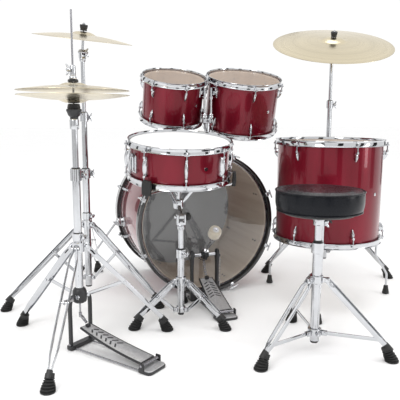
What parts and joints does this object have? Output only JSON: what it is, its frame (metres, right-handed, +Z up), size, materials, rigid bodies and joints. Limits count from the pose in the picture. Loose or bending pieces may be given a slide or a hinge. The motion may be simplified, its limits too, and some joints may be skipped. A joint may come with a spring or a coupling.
{
  "type": "acoustic drum kit",
  "caption": "Acoustic drum kit: bass drum with hung toms, floor tom, snare, hi-hat, crash and ride on tripod stands, two pedals and a round throne.",
  "frame": {"origin": "bottom centre of the whole kit on the floor", "axes": "+Z up; +Y along the bass drum towards the audience; +X towards the drummer's right"},
  "size_m": [1.7924, 1.3352, 1.1798],
  "materials": {
    "shell_lacquer": "deep wine-red gloss lacquer over a wooden shell",
    "chrome": "bright chrome plate",
    "hoop_black": "black gloss lacquered wooden hoop",
    "film_clear": "clear drum film",
    "film_smoke": "smoky translucent drum film",
    "film_white": "white coated drum film",
    "brass": "lathed cymbal alloy",
    "cast_silver": "cast alloy, satin",
    "black_metal": "black enamel",
    "vinyl": "black vinyl"
  },
  "bodies": {
    "kit": {"bass_shell": "shell_lacquer", "bass_batter_head": "film_smoke", "bass_batter_hoop": "hoop_black", "bass_front_head": "film_smoke", "bass_front_hoop": "hoop_black", "floor_tom_shell": "shell_lacquer", "floor_tom_top_hoop": "chrome", "floor_tom_batter_head": "film_clear", "floor_tom_bottom_hoop": "chrome", "snare_stand_base": "chrome", "hihat_base": "chrome", "crash_stand_base": "chrome", "ride_stand_base": "chrome", "throne_column": "chrome", "bass_pedal_frame": "black_metal"},
    "spur_left": {"bass_spur_left": "chrome"},
    "spur_right": {"bass_spur_right": "chrome"},
    "tom_post": {"tom_post": "chrome"},
    "tom_1_arm": {"tom_1_arm": "chrome"},
    "tom_2_arm": {"tom_2_arm": "chrome"},
    "tom_1": {"tom_1_shell": "shell_lacquer", "tom_1_top_hoop": "chrome", "tom_1_batter_head": "film_clear", "tom_1_bottom_hoop": "chrome"},
    "tom_2": {"tom_2_shell": "shell_lacquer", "tom_2_top_hoop": "chrome", "tom_2_batter_head": "film_clear", "tom_2_bottom_hoop": "chrome"},
    "floor_leg_1": {"floor_tom_leg_1": "chrome"},
    "floor_leg_2": {"floor_tom_leg_2": "chrome"},
    "floor_leg_3": {"floor_tom_leg_3": "chrome"},
    "snare_post": {"snare_stand_post": "chrome"},
    "snare": {"snare_basket": "chrome", "snare_shell": "shell_lacquer", "snare_top_hoop": "chrome", "snare_batter_head": "film_white", "snare_bottom_hoop": "chrome"},
    "snare_lever": {"snare_throw_off": "chrome"},
    "hihat_upper": {"hihat_upper_tube": "chrome", "hihat_bottom_cymbal": "brass"},
    "hihat_pull": {"hihat_rod": "chrome", "hihat_top_cymbal": "brass"},
    "hihat_pedal": {"hihat_footboard": "cast_silver"},
    "crash_tube": {"crash_upper_tube": "chrome"},
    "crash_arm": {"crash_tilter": "chrome"},
    "crash_plate": {"crash_cymbal": "brass"},
    "ride_tube": {"ride_upper_tube": "chrome"},
    "ride_arm": {"ride_tilter": "chrome"},
    "ride_plate": {"ride_cymbal": "brass"},
    "throne_ring": {"throne_hub": "chrome"},
    "throne_leg_1": {"throne_leg_1": "chrome"},
    "throne_leg_2": {"throne_leg_2": "chrome"},
    "throne_leg_3": {"throne_leg_3": "chrome"},
    "throne_brace_1": {"throne_brace_1": "chrome"},
    "throne_brace_2": {"throne_brace_2": "chrome"},
    "throne_brace_3": {"throne_brace_3": "chrome"},
    "throne_mast": {"throne_post": "chrome"},
    "throne_cushion": {"throne_seat": "vinyl"},
    "pedal_board": {"bass_pedal_footboard": "cast_silver"},
    "pedal_beater": {"bass_pedal_beater": "black_metal"}
  },
  "joints": [
    {"name": "left_spur_fold", "type": "hinge", "parent": "kit", "child": "spur_left", "pos_m": [-0.37978, 0.49063, 0.262], "axis": [1, 0, 0], "range_deg": [0, 55]},
    {"name": "right_spur_fold", "type": "hinge", "parent": "kit", "child": "spur_right", "pos_m": [0.22422, 0.49063, 0.262], "axis": [1, 0, 0], "range_deg": [0, 55]},
    {"name": "tom_post_height", "type": "slide", "parent": "kit", "child": "tom_post", "axis": [0, 0, 1], "range_m": [0, 0.05]},
    {"name": "tom_1_tilt", "type": "hinge", "parent": "tom_post", "child": "tom_1_arm", "pos_m": [-0.07478, 0.19763, 0.745], "axis": [-1, 0, 0], "range_deg": [0, 12]},
    {"name": "tom_2_tilt", "type": "hinge", "parent": "tom_post", "child": "tom_2_arm", "pos_m": [-0.04678, 0.19663, 0.745], "axis": [1, 0, 0], "range_deg": [0, 8]},
    {"name": "tom_1_swivel", "type": "hinge", "parent": "tom_1_arm", "child": "tom_1", "pos_m": [-0.07478, 0.19763, 0.745], "axis": [0, 0, 1], "range_deg": [0, 20]},
    {"name": "tom_2_swivel", "type": "hinge", "parent": "tom_2_arm", "child": "tom_2", "pos_m": [-0.04678, 0.19663, 0.745], "axis": [0, 0, -1], "range_deg": [0, 20]},
    {"name": "floor_tom_leg_1_height", "type": "slide", "parent": "kit", "child": "floor_leg_1", "axis": [0, 0, 1], "range_m": [0, 0.12]},
    {"name": "floor_tom_leg_2_height", "type": "slide", "parent": "kit", "child": "floor_leg_2", "axis": [0, 0, 1], "range_m": [0, 0.12]},
    {"name": "floor_tom_leg_3_height", "type": "slide", "parent": "kit", "child": "floor_leg_3", "axis": [0, 0, 1], "range_m": [0, 0.12]},
    {"name": "snare_stand_height", "type": "slide", "parent": "kit", "child": "snare_post", "axis": [0, 0, 1], "range_m": [-0.01, 0.05]},
    {"name": "snare_basket_tilt", "type": "hinge", "parent": "snare_post", "child": "snare", "pos_m": [-0.28078, -0.10437, 0.385], "axis": [1, 0, 0], "range_deg": [0, 6]},
    {"name": "snare_throw_off", "type": "hinge", "parent": "snare", "child": "snare_lever", "pos_m": [-0.46308, -0.09459, 0.5518], "axis": [0.1905, -0.9719, -0.1386], "range_deg": [0, 90]},
    {"name": "hihat_height", "type": "slide", "parent": "kit", "child": "hihat_upper", "axis": [0, 0, 1], "range_m": [-0.1, 0]},
    {"name": "hihat_pedal_hinge", "type": "hinge", "parent": "kit", "child": "hihat_pedal", "pos_m": [-0.49245, -0.44292, 0.024], "axis": [-0.8192, -0.5736, 0], "range_deg": [0, 2.4], "stiffness_Nm_per_rad": 60, "springref_deg": -5.73},
    {"name": "hihat_rod_slide", "type": "slide", "parent": "kit", "child": "hihat_pull", "axis": [0, 0, -1], "range_m": [0, 0.01131]},
    {"name": "crash_height", "type": "slide", "parent": "kit", "child": "crash_tube", "axis": [0, 0, 1], "range_m": [0, 0.15]},
    {"name": "crash_tilt", "type": "hinge", "parent": "crash_tube", "child": "crash_arm", "pos_m": [-0.55178, 0.29263, 0.985], "axis": [0.9238, 0.3829, 0], "range_deg": [-15, 15]},
    {"name": "crash_sway", "type": "hinge", "parent": "crash_arm", "child": "crash_plate", "pos_m": [-0.54687, 0.28077, 1.06194], "axis": [0.9238, 0.3829, 0], "range_deg": [-6, 6]},
    {"name": "ride_height", "type": "slide", "parent": "kit", "child": "ride_tube", "axis": [0, 0, 1], "range_m": [0, 0.15]},
    {"name": "ride_tilt", "type": "hinge", "parent": "ride_tube", "child": "ride_arm", "pos_m": [0.62522, 0.33863, 1.04], "axis": [0.9201, -0.3917, 0], "range_deg": [-15, 15]},
    {"name": "ride_sway", "type": "hinge", "parent": "ride_arm", "child": "ride_plate", "pos_m": [0.61428, 0.31294, 1.10636], "axis": [0.9201, -0.3917, 0], "range_deg": [-6, 6]},
    {"name": "throne_leg_1_fold", "type": "hinge", "parent": "kit", "child": "throne_leg_1", "pos_m": [0.00874, -0.50042, 0.234], "axis": [0.2957, -0.9553, 0], "range_deg": [0, 30]},
    {"name": "throne_brace_1_fold", "type": "hinge", "parent": "throne_ring", "child": "throne_brace_1", "pos_m": [0.00874, -0.50042, 0.059], "axis": [0.2957, -0.9553, 0], "range_deg": [0, 70.13]},
    {"name": "throne_leg_2_fold", "type": "hinge", "parent": "kit", "child": "throne_leg_2", "pos_m": [0.06617, -0.51347, 0.234], "axis": [0.6794, 0.7337, 0], "range_deg": [0, 30]},
    {"name": "throne_brace_2_fold", "type": "hinge", "parent": "throne_ring", "child": "throne_brace_2", "pos_m": [0.06617, -0.51347, 0.059], "axis": [0.6794, 0.7337, 0], "range_deg": [0, 70.13]},
    {"name": "throne_leg_3_fold", "type": "hinge", "parent": "kit", "child": "throne_leg_3", "pos_m": [0.04875, -0.45721, 0.234], "axis": [-0.9751, 0.2215, 0], "range_deg": [0, 30]},
    {"name": "throne_brace_3_fold", "type": "hinge", "parent": "throne_ring", "child": "throne_brace_3", "pos_m": [0.04875, -0.45721, 0.059], "axis": [-0.9751, 0.2215, 0], "range_deg": [0, 70.13]},
    {"name": "throne_ring_slide", "type": "slide", "parent": "kit", "child": "throne_ring", "axis": [0, 0, 1], "range_m": [0, 0.1009]},
    {"name": "throne_seat_height", "type": "slide", "parent": "kit", "child": "throne_mast", "axis": [0, 0, 1], "range_m": [0, 0.08]},
    {"name": "throne_seat_spin", "type": "hinge", "parent": "throne_mast", "child": "throne_cushion", "pos_m": [0.04122, -0.49037, 0.448], "axis": [0, 0, 1], "continuous": true},
    {"name": "bass_pedal_hinge", "type": "hinge", "parent": "kit", "child": "pedal_board", "pos_m": [-0.12278, -0.14437, 0.024], "axis": [-1, 0, 0], "range_deg": [0, 8.35]},
    {"name": "bass_beater_swing", "type": "hinge", "parent": "kit", "child": "pedal_beater", "pos_m": [-0.12278, 0.06563, 0.19], "axis": [-1, 0, 0], "range_deg": [0, 66.8], "stiffness_Nm_per_rad": 0.8, "springref_deg": -34.38}
  ],
  "couplings": [
    {"joint": "hihat_rod_slide", "follows": "hihat_pedal_hinge", "m_per_rad": 0.27},
    {"joint": "throne_leg_2_fold", "follows": "throne_leg_1_fold", "ratio": 1},
    {"joint": "throne_leg_3_fold", "follows": "throne_leg_1_fold", "ratio": 1},
    {"joint": "throne_brace_1_fold", "follows": "throne_leg_1_fold", "ratio": 2.3377},
    {"joint": "throne_brace_2_fold", "follows": "throne_leg_1_fold", "ratio": 2.3377},
    {"joint": "throne_brace_3_fold", "follows": "throne_leg_1_fold", "ratio": 2.3377},
    {"joint": "throne_ring_slide", "follows": "throne_leg_1_fold", "m_per_rad": 0.1927},
    {"joint": "bass_beater_swing", "follows": "bass_pedal_hinge", "ratio": 8}
  ]
}
